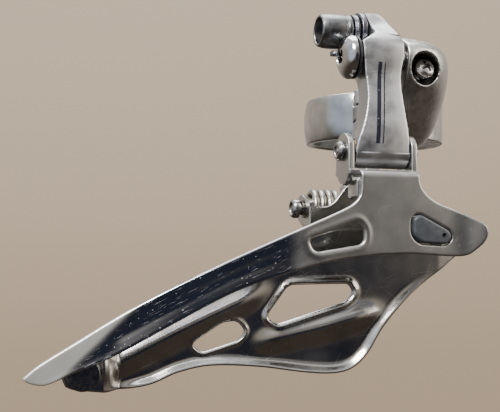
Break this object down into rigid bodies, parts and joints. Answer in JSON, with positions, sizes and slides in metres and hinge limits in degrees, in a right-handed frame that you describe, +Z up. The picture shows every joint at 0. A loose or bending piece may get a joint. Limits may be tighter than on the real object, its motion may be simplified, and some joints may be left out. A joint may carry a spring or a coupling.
{
  "type": "front derailleur",
  "caption": "Clamp-on front derailleur: hinged seat-tube clamp, two-link parallelogram with cable lever and return spring, and a long twin-plate chain cage.",
  "frame": {"origin": "centre of the seat-tube clamp's bore, at half the band's height", "axes": "+Z up along the seat tube, +X towards the front of the bicycle along the chain cage's length, -Y outwards to the drive side"},
  "size_m": [0.1122, 0.0781, 0.087],
  "materials": {
    "satin_aluminium": "satin, brushed, with polished edges",
    "polished_aluminium": "polished, slightly mottled",
    "chromed_steel": "mirror chrome with fine scratches",
    "polished_steel": "polished steel with fine scratches",
    "zinc_steel": "bright zinc plate, lightly worn",
    "dark_steel": "tarnished dark steel with worn bright edges",
    "spring_steel": "dull grey spring wire",
    "grey_nylon": "matte moulded plastic",
    "black_washer": "black nylon washer",
    "bronze": "sintered bronze"
  },
  "bodies": {
    "clamp_body": {"fixed_body": "satin_aluminium", "upper_outer_pivot_bolt": "chromed_steel", "pivot_washer": "black_washer", "upper_inner_pivot_pin": "zinc_steel", "clamp_hinge_pin": "zinc_steel"},
    "band": {"clamp_band": "polished_aluminium", "clamp_washer": "zinc_steel"},
    "clamp_bolt_body": {"clamp_bolt": "zinc_steel"},
    "outer_link_body": {"outer_link": "satin_aluminium", "upper_pivot_bush": "bronze", "lower_pivot_bush": "bronze", "cable_washer": "dark_steel", "cable_clamp_plate": "dark_steel"},
    "cable_anchor_body": {"cable_anchor_bolt": "dark_steel"},
    "inner_link_body": {"inner_link": "satin_aluminium"},
    "cage": {"cage_outer_plate": "chromed_steel", "cage_inner_plate": "polished_steel", "cage_inner_bracket": "zinc_steel", "chain_guide_insert": "grey_nylon", "return_spring": "spring_steel", "lower_outer_pivot_pin": "zinc_steel", "lower_inner_pivot_pin": "zinc_steel", "lower_pin_clip": "dark_steel", "nose_rivet_1": "chromed_steel", "nose_rivet_2": "chromed_steel", "bracket_rivet_1": "chromed_steel", "bracket_rivet_2": "chromed_steel", "tail_screw": "dark_steel", "tail_spacer": "dark_steel", "tail_washer": "dark_steel"},
    "low_limit_body": {"low_limit_screw": "zinc_steel"},
    "high_limit_body": {"high_limit_screw": "zinc_steel"}
  },
  "joints": [
    {"name": "outer_link_swing", "type": "hinge", "parent": "clamp_body", "child": "outer_link_body", "pos_m": [-0.014, -0.0375, 0.0096], "axis": [-1, 0, 0], "range_deg": [0, 38], "stiffness_Nm_per_rad": 0.12, "springref_deg": -45.84},
    {"name": "cage_swing", "type": "hinge", "parent": "outer_link_body", "child": "cage", "pos_m": [-0.014, -0.0408, -0.0126], "axis": [1, 0, 0], "range_deg": [0, 38]},
    {"name": "inner_link_swing", "type": "hinge", "parent": "clamp_body", "child": "inner_link_body", "pos_m": [-0.01, -0.0226, -0.003], "axis": [-1, 0, 0], "range_deg": [0, 38]},
    {"name": "clamp_band_open", "type": "hinge", "parent": "clamp_body", "child": "band", "pos_m": [-0.0101, -0.01749, 0], "axis": [0, 0, 1], "range_deg": [0, 55]},
    {"name": "clamp_bolt_turn", "type": "hinge", "parent": "band", "child": "clamp_bolt_body", "pos_m": [0.00681, 0.02228, 0], "axis": [-0.9563, 0.2924, 0], "continuous": true},
    {"name": "cable_anchor_turn", "type": "hinge", "parent": "outer_link_body", "child": "cable_anchor_body", "pos_m": [-0.02, -0.031, 0.017], "axis": [-1, 0, 0], "continuous": true},
    {"name": "low_limit_turn", "type": "hinge", "parent": "clamp_body", "child": "low_limit_body", "pos_m": [-0.0024, -0.0356, 0.0076], "axis": [0.0601, -0.9309, 0.3603], "continuous": true},
    {"name": "high_limit_turn", "type": "hinge", "parent": "clamp_body", "child": "high_limit_body", "pos_m": [-0.0034, -0.0272, 0.0146], "axis": [0, -0.4191, 0.908], "continuous": true}
  ],
  "couplings": [
    {"joint": "cage_swing", "follows": "outer_link_swing", "ratio": 1},
    {"joint": "inner_link_swing", "follows": "outer_link_swing", "ratio": 1}
  ]
}
